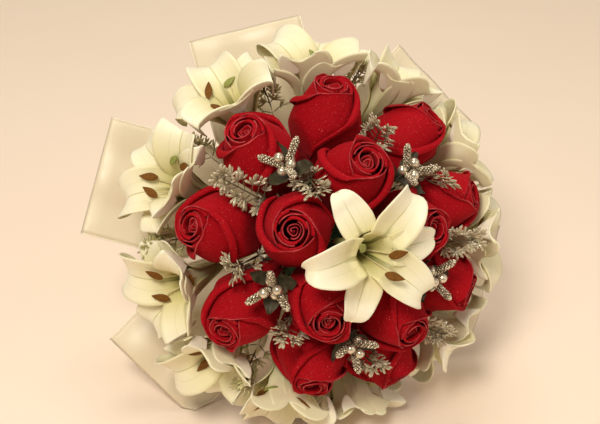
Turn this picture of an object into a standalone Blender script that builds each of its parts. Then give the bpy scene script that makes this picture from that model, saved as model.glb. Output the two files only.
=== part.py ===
"""Bridal bouquet of foam roses and lilies, laid down on its satin collar and its handle.

Everything is modelled in the bouquet's own frame: its centre is the middle of the foam ball,
+Z runs out through the face of the bouquet and +Y is up across the face. An empty then tips
that frame back, so that the bouquet lies on the table with the end of its handle down.
"""
import math
import random

import bmesh
import bpy
from mathutils import Matrix, Vector

MM = 0.001

# The holder and how the bouquet lies
FACE_LIFT = math.radians(33)
FOAM_RADIUS = 36 * MM
CUP_WALL = 2.2 * MM
CUP_ROOM = 1.04
CUP_RIM = -10 * MM
GAP = 0.3 * MM
HANDLE_RADIUS = 10.5 * MM
HANDLE_END = -186 * MM
WRAP_WALL = 1.6 * MM
WRAP_TOP = -56 * MM
HOLDER_SIDES = 16
STEM_FOOT = 25 * MM
STEM_RADIUS = 1.5 * MM
WIRE_RADIUS = 1.1 * MM
CENTRE_HEIGHT = (
    (-HANDLE_END + WRAP_WALL + GAP) * math.sin(FACE_LIFT)
    + (HANDLE_RADIUS + WRAP_WALL + GAP) * math.cos(FACE_LIFT)
)

# Roses: half angles are seen from the bouquet's centre
ROSE_HALF_ANGLE = math.radians(15.6)
ROSE_TWIST = math.radians(28)
ROSE_PETALS = 3
ROSE_COLUMNS = 5
# Rings of a rose in millimetres: along its axis, radius, spiral step, outer and inner petal dip
ROSE_RINGS = (
    (25, 1.5, 0, 0, 0), (47, 1.5, 0, 0, 0), (56, 15.0, 0, 0, 0),
    (80, 24.4, 0.9, 0, 0), (94, 23.6, 0.9, 0, 0), (108, 18.6, 0.9, 0.4, 0),
    (118, 18.4, 0.8, 1.0, 0), (121, 15.6, 0.7, 1.0, 0), (101, 13.8, 0, 0, 0),
    (101, 10.2, 0, 0, 0), (117, 9.2, 0.5, 0, 1.0), (103, 5.6, 0, 0, 0),
    (114, 2.8, 0, 0, 0), (112, 0, 0, 0, 0),
)
ROSE_EDGE_DIP = 7.5
ROSE_HEART_DIP = 5.0
# Above this height along its axis, in millimetres, a rose gives way to its neighbours
ROSE_HEAD_START = 50
# Two points along its axis and across it that clear a rose's narrowing upper half
ROSE_SHOULDER = Vector((92, 25.6))
ROSE_LIP = Vector((120, 19.4))
ROSES = {
    "upper_left": (125, 47), "top": (82, 52), "upper_right": (39, 60), "centre_top": (66, 23),
    "right": (6, 57), "left": (169, 50), "centre_left": (168, 17), "lower_left": (213, 52),
    "centre_bottom": (251, 28), "bottom": (255, 57), "lower_right": (299, 42),
    "right_low": (329, 63), "bottom_right": (290, 72), "centre_right": (355, 29),
}

# Lilies
LILY_FOOT = 68 * MM
LILY_PETAL = 90 * MM
# Half widths in millimetres at shares of a petal's length
LILY_INNER_WIDTHS = ((0.2, 3.4), (0.42, 4.9), (0.6, 10.3), (0.72, 14), (0.86, 11.5), (0.95, 5.5), (1, 0))
LILY_OUTER_WIDTHS = ((0.2, 3.4), (0.42, 4.5), (0.6, 8.4), (0.72, 12), (0.86, 10), (0.95, 4.5), (1, 0))
LILY_TILTS = ((0.0, 7), (0.42, 16), (0.62, 62), (0.80, 118), (1.0, 215))
LILY_FRONT_TILT = 0.5
LILY_PETAL_START = 0.22
THROAT_ROOT = 6 * MM
FRONT_LILY_FOOT = 75 * MM
FRONT_LILY_PETAL = 85 * MM
FRONT_LILY_TILTS = ((0.0, 4), (0.42, 8), (0.64, 74), (0.82, 98), (1.0, 160))
# Ring lilies: the angle round the face, the stem's angle from its axis, and the head's nod
RING_LILIES = (
    (276, 92, 12), (314, 88, 14), (350, 85, 24), (22, 84, 26), (54, 85, 30), (86, 81, 31),
    (117, 81, 32), (154, 81, 34), (192, 82, 36), (222, 84, 30), (249, 84, 24),
)
FRONT_LILY = (290, 6.5)
FRONT_LILY_ROLL = math.radians(60)
OVER_ROSES = 126.6 * MM

# Glitter sprigs: where the stem stands, then where the tip points and how far out it is
SPRIGS = (
    ((103, 71), (106, 66), 121), ((56, 44), (62, 36), 120), ((148, 34), (147, 44), 119),
    ((191, 44), (189, 35), 119), ((237, 45), (233, 37), 119), ((278, 57), (280, 49), 119),
    ((24, 46), (16, 40), 120), ((137, 74), (142, 70), 121), ((175, 76), (177, 72), 121),
    ((345, 49), (349, 57), 119), ((307, 60), (312, 66), 120), ((234, 73), (234, 69), 121),
    ((69, 75), (67, 71), 121), ((112, 25), (120, 15), 120),
)
SPRIG_TEETH = 5
SPRIG_NECK = 96 * MM
SPRIG_HALF_WIDTH = 11.5 * MM
# Sprigs whose stem leans out further than this many degrees stand among the lilies
EDGE_SPRIG_LEAN = 60

# Picks with beads, frosted cones and dark leaves
PICKS = ((121, 31), (210, 31), (32, 34), (271, 43), (327, 41))
PICK_NECK = 98 * MM
BEAD_HALF = 3.4 * MM
CONE_LENGTH = 8 * MM

# Satin collar: the tucked loop folds back under the bouquet, which lies on it
LOOP_ANGLES = (97, 157, 217, 277, 337, 37)
TUCKED_LOOP = 277
LOOP_REACH = 150 * MM
LOOP_HALF_WIDTH = 42 * MM
LOOP_FRONT = -28 * MM
LOOP_INNER_FRONT = -45 * MM
LOOP_START = HANDLE_RADIUS + GAP
LOOP_ROWS = 9
TUCK_REACH = 110.4 * MM
TUCK_RADIUS = 4 * MM
PRESSED_SATIN = 2.4 * MM

DRAW = random.Random(2)
# A solid shorter than this that comes loose in fusing is only a scrap
SCRAP_LENGTH = 6 * MM
WELDS = (0.001 * MM, 0.003 * MM, 0.01 * MM)
MERGE = 0.02 * MM


def make_material(name, colour, roughness, metallic=0.0):
    material = bpy.data.materials.new(name)
    material.use_nodes = True
    shader = material.node_tree.nodes["Principled BSDF"]
    shader.inputs["Base Color"].default_value = (*colour, 1.0)
    shader.inputs["Roughness"].default_value = roughness
    shader.inputs["Metallic"].default_value = metallic
    return material


def interpolate(stops, value):
    """Straight-line value between the stops of a short profile."""
    for (low, start), (high, end) in zip(stops, stops[1:]):
        if value <= high:
            share = max(0.0, (value - low) / (high - low))
            return start + (end - start) * share
    return stops[-1][1]


def direction(degrees):
    """Unit vector for an angle round the face and an angle away from its axis."""
    around, away = (math.radians(value) for value in degrees)
    return Vector((
        math.cos(around) * math.sin(away), math.sin(around) * math.sin(away), math.cos(away)))


def cross_axes(axis, roll):
    """Two unit vectors across an axis, turned by roll."""
    side = axis.orthogonal().normalized()
    other = axis.cross(side)
    return (side * math.cos(roll) + other * math.sin(roll),
            other * math.cos(roll) - side * math.sin(roll))


# Walls keep neighbours apart: each is (normal, offset), and a point stays where
# normal . point + offset is positive
FLOOR_WALL = (Vector((0, math.cos(FACE_LIFT), math.sin(FACE_LIFT))), CENTRE_HEIGHT)
COLLAR_WALL = (Vector((0, 0, 1)), -LOOP_FRONT - 1.5 * MM)


def cell_wall(own, other, own_angle):
    """Plane through the centre, own_angle away from own towards other."""
    across = (other - own * own.dot(other)).normalized()
    return own * math.sin(own_angle) - across * math.cos(own_angle), 0.0


def rose_wall(rose, towards):
    """Plane that touches the narrowing upper half of a rose on the side of a neighbour."""
    low = ROSE_SHOULDER * MM
    high = ROSE_LIP * MM
    slope = (high - low).normalized()
    out_along, out_across = -slope.y, slope.x
    across = (towards - rose * rose.dot(towards)).normalized()
    normal = rose * out_along + across * out_across
    return normal, -(low.x * out_along + low.y * out_across)


def fit(point, walls, margin, blend=7 * MM):
    """Presses a point softly back to its own side of every wall."""
    for _ in range(4):
        for normal, offset in walls:
            height = normal.dot(point) + offset
            if height < blend:
                room = blend - margin
                point = point + normal * (margin + room * math.exp((height - blend) / room) - height)
    return point


def press(mesh, walls, root, root_length=0.0):
    """Keeps every point of a small piece clear of the walls, but leaves its root where it is."""
    for vert in mesh.verts:
        if (vert.co - root).length > root_length:
            vert.co = fit(vert.co, walls, 0.6 * MM, 2 * MM)


def bloom_walls(kind, own, neighbours):
    """Walls of one bloom against every other bloom and stem near it."""
    walls = [FLOOR_WALL]
    if kind == "lily":
        walls.append(COLLAR_WALL)
    for other_kind, other in neighbours:
        apart = own.angle(other, 0)
        if 0 < apart < math.radians(50):
            if kind == "lily" and other_kind == "rose":
                walls.append(rose_wall(other, own))
            else:
                walls.append(cell_wall(own, other, own_share(kind, other_kind, apart)))
    return walls


HALF_ANGLES = {
    "rose": ROSE_HALF_ANGLE, "lily": math.radians(17), "front_lily": math.radians(9),
    "edge_sprig": math.radians(5.5), "inner_stem": math.radians(2.4),
}


def own_share(kind, other_kind, apart):
    """How much of the angle between two neighbours belongs to the first."""
    own, other = HALF_ANGLES[kind], HALF_ANGLES[other_kind]
    if own + other < apart:
        return own + (apart - own - other) / 2
    if kind == other_kind:
        return apart / 2
    if kind == "rose":
        return own
    if other_kind == "rose":
        return apart - other
    return apart * own / (own + other)


def blade(columns, rows, place, thickness):
    """A petal or leaf: two bent grids that meet along their edges, with the second one
    moved back by the thickness everywhere else."""
    mesh = bmesh.new()
    step = 0.02
    inside = set()
    for side in (0, 1):
        grid = bmesh.ops.create_grid(mesh, x_segments=columns, y_segments=rows, size=1)
        for vert in grid["verts"]:
            u, v = vert.co.x, (vert.co.y + 1) / 2
            point = place(u, v)
            if abs(u) < 0.999 and 0.001 < v < 0.999:
                along_u = place(u + step, v) - place(u - step, v)
                along_v = place(u, v + step) - place(u, v - step)
                point = point + along_u.cross(along_v).normalized() * thickness * side
                inside.add(vert)
            vert.co = point
    bmesh.ops.triangulate(mesh, faces=mesh.faces, quad_method="FIXED")
    flat_corners = [face for face in mesh.faces if inside.isdisjoint(face.verts)]
    bmesh.ops.delete(mesh, geom=flat_corners, context="FACES")
    bmesh.ops.remove_doubles(mesh, verts=mesh.verts, dist=MERGE)
    face_outwards(mesh)
    return mesh


def face_outwards(mesh):
    bmesh.ops.recalc_face_normals(mesh, faces=mesh.faces)
    if mesh.calc_volume(signed=True) < 0:
        bmesh.ops.reverse_faces(mesh, faces=mesh.faces)


def turned(axis, roll, profile, sides, start=0.0):
    """A closed solid turned round an axis: profile pairs are (along, radius)."""
    side, other = cross_axes(axis, roll)
    mesh = bmesh.new()
    rings = []
    for along, radius in profile:
        ring = []
        for index in range(sides):
            angle = start + 2 * math.pi * index / sides
            ring.append(mesh.verts.new(
                axis * along + (side * math.cos(angle) + other * math.sin(angle)) * radius))
        rings.append(ring)
    for low, high in zip(rings, rings[1:]):
        for index in range(sides):
            after = (index + 1) % sides
            mesh.faces.new((low[index], low[after], high[after], high[index]))
    mesh.faces.new(reversed(rings[0]))
    mesh.faces.new(rings[-1])
    bmesh.ops.remove_doubles(mesh, verts=mesh.verts, dist=MERGE)
    face_outwards(mesh)
    return mesh


def as_object(name, mesh, material, collection=None):
    data = bpy.data.meshes.new(name)
    mesh.to_mesh(data)
    mesh.free()
    data.materials.append(material)
    result = bpy.data.objects.new(name, data)
    (collection or bpy.context.scene.collection).objects.link(result)
    return result


def bodies_of(mesh):
    """Lists of the faces that hang together by their edges, the smallest first."""
    left = set(mesh.faces)
    bodies = []
    while left:
        front = [left.pop()]
        body = list(front)
        while front:
            for edge in front.pop().edges:
                for face in edge.link_faces:
                    if face in left:
                        left.remove(face)
                        front.append(face)
                        body.append(face)
        bodies.append(body)
    return sorted(bodies, key=len)


def is_lost_piece(body):
    """True for a loose solid too long to be a scrap; the skin of a sealed hollow is no solid."""
    corners = [[vert.co for vert in face.verts] for face in body]
    if sum(a.dot(b.cross(c)) for a, b, c in corners) < 0:
        return False
    points = [point for triangle in corners for point in triangle]
    start = points[0]
    return max((point - start).length for point in points) > SCRAP_LENGTH


def keep_largest_body(data):
    """Drops loose scraps, fills hollows that the fusing has sealed, and says if that was all."""
    mesh = bmesh.new()
    mesh.from_mesh(data)
    bmesh.ops.triangulate(mesh, faces=mesh.faces)
    lost = bodies_of(mesh)[:-1]
    whole = not any(is_lost_piece(body) for body in lost)
    for body in lost:
        bmesh.ops.delete(mesh, geom=body, context="FACES")
    mesh.to_mesh(data)
    mesh.free()
    return whole


def fuse(name, pieces, material, operation="UNION", solver="MANIFOLD"):
    """Joins closed pieces into one solid, or cuts the rest out of the first."""
    result = as_object(name, pieces[0], material)
    helpers = bpy.data.collections.new(name + "_pieces")
    bpy.context.scene.collection.children.link(helpers)
    for index, piece in enumerate(pieces[1:]):
        as_object(f"{name}_piece_{index}", piece, material, helpers)
    modifier = result.modifiers.new("join", "BOOLEAN")
    modifier.operation = operation
    modifier.solver = solver
    modifier.operand_type = "COLLECTION"
    modifier.collection = helpers
    bpy.context.view_layer.update()
    evaluated = result.evaluated_get(bpy.context.evaluated_depsgraph_get())
    joined = bpy.data.meshes.new_from_object(evaluated)
    result.modifiers.remove(modifier)
    result.data = joined
    for helper in list(helpers.objects):
        bpy.data.objects.remove(helper)
    bpy.data.collections.remove(helpers)
    result["whole"] = keep_largest_body(joined)
    return result


def is_clean(thing):
    """True where nothing fell off, and the solid stays one closed body when close points weld."""
    clean = thing["whole"]
    for distance in WELDS:
        mesh = bmesh.new()
        mesh.from_mesh(thing.data)
        bmesh.ops.remove_doubles(mesh, verts=mesh.verts, dist=distance)
        clean = clean and all(edge.is_manifold for edge in mesh.edges) and len(bodies_of(mesh)) == 1
        mesh.free()
    return clean


def turn_until_clean(make, roll, *settings):
    """Turns a bloom on its stem a little further until its pieces join in one clean body."""
    for nudge in range(20):
        result = make(roll + nudge * math.radians(1.7), *settings)
        if is_clean(result):
            break
        bpy.data.objects.remove(result)
    return result


# Stems stand in plain four-sided holes in the foam, turned alike
def stem(axis, top, radius=STEM_RADIUS, foot=STEM_FOOT):
    return turned(axis, 0.0, ((foot, radius), (top, radius)), 4)


def stem_hole(axis, radius=STEM_RADIUS):
    corner = (radius + GAP) * math.sqrt(2)
    return turned(axis, 0.0, ((STEM_FOOT - GAP, corner), (FOAM_RADIUS * 1.2, corner)), 4)


def make_rose(name, axis, walls, material):
    """A half open bud. One closed surface runs up the stem and the three outer petals, over
    their rolled lips, down inside, and over the inner petals and the rolled heart."""
    roll = DRAW.uniform(0, 2 * math.pi)
    side, other = cross_axes(axis, roll)
    mesh = bmesh.new()
    columns = []
    for petal in range(ROSE_PETALS):
        for index in range(ROSE_COLUMNS):
            columns.append((petal, index / (ROSE_COLUMNS - 1)))
    rings = [[] for _ in range(len(ROSE_RINGS))]
    for petal, share in columns:
        edge = 2 * share - 1
        outer_dip = ROSE_EDGE_DIP * edge * edge
        inner_dip = ROSE_HEART_DIP * (1 - edge * edge)
        for ring, (along, radius, spiral, outer, inner) in zip(rings, ROSE_RINGS):
            along_here = along - outer * outer_dip - inner * inner_dip
            radius_here = radius + spiral * edge
            twist = ROSE_TWIST * (along - ROSE_HEAD_START) / 70
            angle = 2 * math.pi * (petal + share) / ROSE_PETALS + twist
            across = side * math.cos(angle) + other * math.sin(angle)
            point = axis * along_here * MM + across * radius_here * MM
            if along > ROSE_HEAD_START:
                point = fit(point, walls, 0.4 * MM)
            ring.append(mesh.verts.new(point))
    count = len(columns)
    for low, high in zip(rings, rings[1:]):
        for index in range(count):
            after = (index + 1) % count
            mesh.faces.new((low[index], low[after], high[after], high[index]))
    mesh.faces.new(reversed(rings[0]))
    bmesh.ops.triangulate(mesh, faces=mesh.faces, quad_method="FIXED")
    bmesh.ops.remove_doubles(mesh, verts=mesh.verts, dist=MERGE)
    face_outwards(mesh)
    return as_object(name, mesh, material)


def petal_line(foot, length, tilts, foot_radius, steps=60):
    """Centre line of a lily petal: (along, radius, tilt) read at any share of its length."""
    points = [(foot, foot_radius)]
    for index in range(steps):
        tilt = math.radians(interpolate(tilts, (index + 0.5) / steps))
        along, radius = points[-1]
        points.append((along + math.cos(tilt) * length / steps, radius + math.sin(tilt) * length / steps))

    def read(share):
        place = min(max(share, 0.0), 1.0) * steps
        low = min(int(place), steps - 1)
        part = place - low
        along = points[low][0] * (1 - part) + points[low + 1][0] * part
        radius = points[low][1] * (1 - part) + points[low + 1][1] * part
        return along, radius, math.radians(interpolate(tilts, share))
    return read


def make_lily(roll, name, axis, nod, walls, material, foot, length, tilts, over_roses=None):
    """Six petals in two whorls on a throat, with six stamens and a pistil. A ring lily's head
    nods to the front, and its petals on that side stay half closed behind the roses."""
    ring = over_roses is None
    throat_radius = interpolate(((10, 6.6), (20, 8.2)), tilts[1][1]) * MM
    forward = Vector((0, 0, 1))
    head = Matrix.Rotation(math.radians(nod), 3, axis.cross(forward)) @ axis
    base = axis * foot
    side, other = cross_axes(head, 0.0)
    frontal = (forward - head * head.dot(forward)).normalized()

    def at(along, out, radius):
        return base + head * along + out * radius

    def petal(angle, widths, start, start_radius, cup):
        out = side * math.cos(angle) + other * math.sin(angle)
        across = head.cross(out)
        facing = max(0.0, out.dot(frontal)) if ring else 0.0
        closing = 1 - (1 - LILY_FRONT_TILT) * (facing * 0.7 + 0.3) if ring else 1
        own_length = length * DRAW.uniform(0.96, 1.03)
        own_tilts = [(share, tilt * closing) for share, tilt in tilts]
        line = petal_line(start, own_length, own_tilts, start_radius)

        def place(u, v):
            share = LILY_PETAL_START + (1 - LILY_PETAL_START) * v
            along, radius, tilt = line(share)
            width = interpolate(widths, share) * MM
            lift = cup * width * u * u * (1 - 0.6 * share)
            middle = at(along + math.sin(tilt) * lift, out, radius - math.cos(tilt) * lift)
            point = fit(middle + across * width * u, walls, 1.6 * MM)
            if over_roses and radius > 11 * MM and point.length < over_roses:
                point = point.normalized() * over_roses
            return point
        return blade(2, 5, place, 1.4 * MM)

    throat_profile = (
        (-1 * MM, STEM_RADIUS), (2 * MM, 4.6 * MM), (27 * MM, throat_radius))
    throat = turned(head, roll, throat_profile, 6)
    bmesh.ops.translate(throat, vec=base, verts=throat.verts)
    press(throat, walls, base, THROAT_ROOT)
    pieces = [throat, stem(axis, foot + 3 * MM)]
    for index in range(3):
        angle = roll + 2 * math.pi * index / 3 + DRAW.uniform(-0.06, 0.06)
        pieces.append(petal(angle, LILY_INNER_WIDTHS, 3 * MM, 2.2 * MM, 0.24))
        pieces.append(petal(angle + math.pi / 3, LILY_OUTER_WIDTHS, -4 * MM, 2.6 * MM, 0.20))
    for index in range(6):
        angle = roll + math.pi / 3 * (index + 0.5)
        out = side * math.cos(angle) + other * math.sin(angle)
        thread = stamen(at(24 * MM, out, 4.0 * MM), at((56 + 3 * (index % 2)) * MM, out, 8.5 * MM))
        press(thread, walls, base)
        pieces.append(thread)
    stigma = turned(head, roll, ((24 * MM, 0.9 * MM), (58 * MM, 2.2 * MM), (60 * MM, 0)), 3)
    bmesh.ops.translate(stigma, vec=base, verts=stigma.verts)
    press(stigma, walls, base)
    pieces.append(stigma)
    return fuse(name, pieces, material)


def stamen(start, tip):
    """A three-sided thread that swells into a long anther at its end."""
    length = (tip - start).length
    profile = ((0, 0.6 * MM), (length - 5 * MM, 1.9 * MM), (length, 0))
    mesh = turned((tip - start).normalized(), 0.0, profile, 3)
    bmesh.ops.translate(mesh, vec=start, verts=mesh.verts)
    return mesh


def make_sprig(roll, name, axis, tip_axis, tip_reach, head_walls, material):
    """A fern frond cut from glitter sheet: a stem and one arched blade with a toothed outline."""
    start = axis * SPRIG_NECK
    tip = tip_axis * tip_reach * MM
    middle = (start + tip) / 2 + (start + tip).normalized() * 4 * MM
    course = (tip - start).normalized()
    across = Matrix.Rotation(roll, 3, course) @ course.cross((start + tip).normalized()).normalized()
    rows = 2 * SPRIG_TEETH + 1

    def place(u, v):
        row = round(v * rows)
        tooth = row % 2
        share = v + (0.5 / rows if tooth and abs(u) > 0.5 else 0.0)
        bend = (start * (1 - share) ** 2 + middle * 2 * share * (1 - share) + tip * share * share)
        spread = math.sin(math.pi * (0.16 + 0.80 * v)) * (1.0 if tooth else 0.34)
        point = bend + across * u * SPRIG_HALF_WIDTH * spread
        return fit(point, head_walls, 0.7 * MM, 3 * MM) if v > 0.06 else point
    frond = blade(2, rows, place, 1.5 * MM)
    return fuse(name, [stem(axis, SPRIG_NECK + 3 * MM, WIRE_RADIUS), frond], material)


def make_pick(roll, name, axis, head_walls, material):
    """Beads and frosted cones wired round a stem over two dark leaves."""
    side, other = cross_axes(axis, roll)
    neck = axis * PICK_NECK
    pieces = [stem(axis, PICK_NECK + 14 * MM, WIRE_RADIUS)]
    bead_profile = ((-BEAD_HALF, 0), (-1.9 * MM, 2.9 * MM), (1.9 * MM, 2.9 * MM), (BEAD_HALF, 0))
    for index in range(4):
        angle = math.pi / 2 * index
        out = side * math.cos(angle) + other * math.sin(angle)
        bead = turned(axis, roll, bead_profile, 4)
        place = neck + axis * (5 + 6 * (index % 2)) * MM + out * BEAD_HALF
        bmesh.ops.translate(bead, vec=place, verts=bead.verts)
        pieces.append(bead)
    for index in range(2):
        out = side if index else -side
        start = neck + axis * CONE_LENGTH
        end = fit(start + axis * 16 * MM + out * 8 * MM, head_walls, MM, 3 * MM)
        cone_profile = ((0, 1.0 * MM), (CONE_LENGTH, 2.3 * MM), ((end - start).length, 0))
        cone = turned((end - start).normalized(), 0.0, cone_profile, 4)
        bmesh.ops.translate(cone, vec=start, verts=cone.verts)
        pieces.append(cone)
    for index in range(2):
        out = other if index else -other
        across = axis.cross(out)

        def place(u, v, out=out, across=across):
            point = neck + axis * (13 * v - 3) * MM + out * 17 * MM * v
            point += across * u * 5.5 * MM * math.sin(math.pi * (0.06 + 0.9 * v))
            return fit(point, head_walls, 0.9 * MM, 3 * MM) if v > 0.1 else point
        pieces.append(blade(2, 3, place, 1.4 * MM))
    return fuse(name, pieces, material)


def make_loop(name, degrees, material):
    """One satin loop pressed flat: a soft wedge that widens to its straight outer fold."""
    angle = math.radians(degrees)
    out = Vector((math.cos(angle), math.sin(angle), 0))
    across = Vector((-math.sin(angle), math.cos(angle), 0))
    tucked = degrees == TUCKED_LOOP
    turn_angle = math.pi - (math.pi / 2 - FACE_LIFT)
    mesh = bmesh.new()

    def path(reach):
        """Distance out from the axis and back along it of the loop's front face."""
        rise = min(1.0, (reach - LOOP_START) / (60 * MM))
        front = LOOP_INNER_FRONT + (LOOP_FRONT - LOOP_INNER_FRONT) * rise * rise * (3 - 2 * rise)
        if not tucked or reach < TUCK_REACH:
            return reach, front, 0.0
        turned_by = min((reach - TUCK_REACH) / TUCK_RADIUS, turn_angle)
        beyond = max(0.0, reach - TUCK_REACH - TUCK_RADIUS * turn_angle)
        return (
            TUCK_REACH + math.sin(turned_by) * TUCK_RADIUS + math.cos(turned_by) * beyond,
            front - (1 - math.cos(turned_by)) * TUCK_RADIUS - math.sin(turned_by) * beyond,
            turned_by)

    for face in (0, 1):
        grid = bmesh.ops.create_grid(mesh, x_segments=3, y_segments=LOOP_ROWS, size=1)
        for vert in grid["verts"]:
            u, v = vert.co.x, (vert.co.y + 1) / 2
            reach = LOOP_START + (LOOP_REACH - LOOP_START) * v
            width = min(LOOP_HALF_WIDTH, 0.55 * reach - 0.6 * MM)
            rounding = 1.0 if 0.001 < v < 0.999 and abs(u) < 0.999 else 0.35
            deep = (1.6 + 4.4 * v) * MM * rounding
            wave = 1.2 * MM * math.sin(5 * u + 9 * v) * v
            radius, front, turned_by = path(reach)
            sign = 0.5 - face
            middle = front - 3.2 * MM + wave * (not tucked)
            normal = out * math.sin(turned_by) + Vector((0, 0, 1)) * math.cos(turned_by)
            base = out * radius + Vector((0, 0, middle)) + across * u * width
            vert.co = base + normal * deep * sign
            # Past the fold the satin lies flat on the table, whichever way the loop leans
            facing_up = 2 * sign * normal.dot(FLOOR_WALL[0])
            settled = turned_by / turn_angle
            height = FLOOR_WALL[0].dot(vert.co) + FLOOR_WALL[1]
            vert.co += FLOOR_WALL[0] * (deep * (1 + facing_up) / 2 - height) * settled
            height = FLOOR_WALL[0].dot(vert.co) + FLOOR_WALL[1]
            lowest = PRESSED_SATIN if facing_up > 0 else 0.0
            if height < lowest:
                vert.co += FLOOR_WALL[0] * (lowest - height)
    edges = [edge for edge in mesh.edges if edge.is_boundary]
    bmesh.ops.bridge_loops(mesh, edges=edges)
    bmesh.ops.triangulate(mesh, faces=mesh.faces)
    face_outwards(mesh)
    return as_object(name, mesh, material)


def make_foam(stems, material):
    """Floral foam ball with one hole for every stem."""
    ball = bmesh.new()
    bmesh.ops.create_uvsphere(ball, u_segments=12, v_segments=8, radius=FOAM_RADIUS)
    holes = [stem_hole(axis, radius) for axis, radius in stems]
    return fuse("foam_ball", [ball] + holes, material, "DIFFERENCE")


def make_holder(material):
    """Plastic cup round the back of the foam, with a straight handle."""
    inner = FOAM_RADIUS * CUP_ROOM
    outer = inner + CUP_WALL
    axis = Vector((0, 0, 1))
    rim_angle = math.acos(CUP_RIM / inner)
    profile = [(HANDLE_END, HANDLE_RADIUS)]
    steps = 5
    start_angle = math.pi - math.asin(HANDLE_RADIUS / outer)
    for index in range(steps + 1):
        angle = start_angle + (rim_angle - start_angle) * index / steps
        profile.append((outer * math.cos(angle), outer * math.sin(angle)))
    for index in range(steps + 1):
        angle = rim_angle + (math.pi - rim_angle) * index / steps
        profile.append((inner * math.cos(angle), inner * math.sin(angle)))
    return as_object("holder", turned(axis, 0.0, profile, HOLDER_SIDES), material)


def make_wrap(material):
    """Satin ribbon wound round the handle and over its end."""
    axis = Vector((0, 0, 1))
    inner = HANDLE_RADIUS + GAP
    outer = inner + WRAP_WALL
    bottom = HANDLE_END - GAP - WRAP_WALL
    profile = ((bottom, outer), (WRAP_TOP, outer), (WRAP_TOP, inner), (HANDLE_END - GAP, inner))
    return as_object("handle_ribbon", turned(axis, 0.0, profile, HOLDER_SIDES), material)


def build():
    for old in list(bpy.data.objects):
        bpy.data.objects.remove(old)
    red = make_material("rose_red", (0.42, 0.004, 0.012), 0.75)
    ivory = make_material("lily_ivory", (0.88, 0.74, 0.50), 0.55)
    glitter = make_material("frond_glitter", (0.42, 0.34, 0.22), 0.35, 0.6)
    pearl = make_material("bead_pearl", (0.70, 0.60, 0.44), 0.3)
    satin = make_material("satin_ivory", (0.80, 0.70, 0.50), 0.35)
    green = make_material("foam_green", (0.05, 0.16, 0.06), 0.95)
    plastic = make_material("holder_plastic", (0.75, 0.74, 0.70), 0.45)

    roses = {name: direction(place) for name, place in ROSES.items()}
    lilies = [direction(place[:2]) for place in RING_LILIES]
    front_lily = direction(FRONT_LILY)
    sprig_axes = [direction(place) for place, _, _ in SPRIGS]
    sprig_kinds = [
        "edge_sprig" if place[1] > EDGE_SPRIG_LEAN else "inner_stem" for place, _, _ in SPRIGS]
    pick_axes = [direction(place) for place in PICKS]
    everything = [("rose", axis) for axis in roses.values()]
    everything += [("lily", axis) for axis in lilies] + [("front_lily", front_lily)]
    everything += list(zip(sprig_kinds, sprig_axes)) + [("inner_stem", axis) for axis in pick_axes]

    made = []
    for name, axis in roses.items():
        made.append(make_rose("rose_" + name, axis, bloom_walls("rose", axis, everything), red))
    for index, axis in enumerate(lilies):
        walls = bloom_walls("lily", axis, everything)
        made.append(turn_until_clean(
            make_lily, DRAW.uniform(0, math.pi / 3), f"lily_{index + 1:02d}", axis,
            RING_LILIES[index][2], walls, ivory, LILY_FOOT, LILY_PETAL, LILY_TILTS))
    made.append(turn_until_clean(
        make_lily, FRONT_LILY_ROLL, "lily_front", front_lily, 0, [], ivory,
        FRONT_LILY_FOOT, FRONT_LILY_PETAL, FRONT_LILY_TILTS, OVER_ROSES))

    def head_walls(own, kind):
        walls = [FLOOR_WALL]
        for other_kind, other in everything:
            apart = own.angle(other, 0)
            if 0 < apart < math.radians(42):
                if other_kind == "rose":
                    walls.append(rose_wall(other, own))
                elif kind == "edge_sprig" or other_kind == "lily":
                    walls.append(cell_wall(own, other, own_share(kind, other_kind, apart)))
        return walls

    for index, (place, tip, reach) in enumerate(SPRIGS):
        axis = sprig_axes[index]
        walls = head_walls(axis, sprig_kinds[index])
        made.append(turn_until_clean(
            make_sprig, 0.0, f"sprig_{index + 1:02d}", axis, direction(tip), reach, walls, glitter))
    for index, axis in enumerate(pick_axes):
        made.append(turn_until_clean(
            make_pick, DRAW.uniform(0, 2 * math.pi), f"bead_pick_{index + 1}", axis,
            head_walls(axis, "inner_stem"), pearl))
    for index, degrees in enumerate(LOOP_ANGLES):
        made.append(make_loop(f"satin_loop_{index + 1}", degrees, satin))
    stems = [(axis, STEM_RADIUS) for axis in list(roses.values()) + lilies + [front_lily]]
    stems += [(axis, WIRE_RADIUS) for axis in sprig_axes + pick_axes]
    made.append(make_foam(stems, green))
    made.append(make_holder(plastic))
    made.append(make_wrap(satin))

    tilt = Matrix.Rotation(math.pi / 2 - FACE_LIFT, 4, "X")
    corners = [tilt @ vert.co for thing in made for vert in thing.data.vertices]
    low = Vector([min(corner[axis] for corner in corners) for axis in range(3)])
    high = Vector([max(corner[axis] for corner in corners) for axis in range(3)])
    frame = bpy.data.objects.new("bouquet_frame", None)
    bpy.context.scene.collection.objects.link(frame)
    frame.rotation_euler = (math.pi / 2 - FACE_LIFT, 0, 0)
    frame.location = (-(low.x + high.x) / 2, -(low.y + high.y) / 2, -low.z)
    for thing in made:
        thing.parent = frame


build()
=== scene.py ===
import math
import random

import bmesh
import bpy
from mathutils import Matrix, Vector, noise


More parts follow.
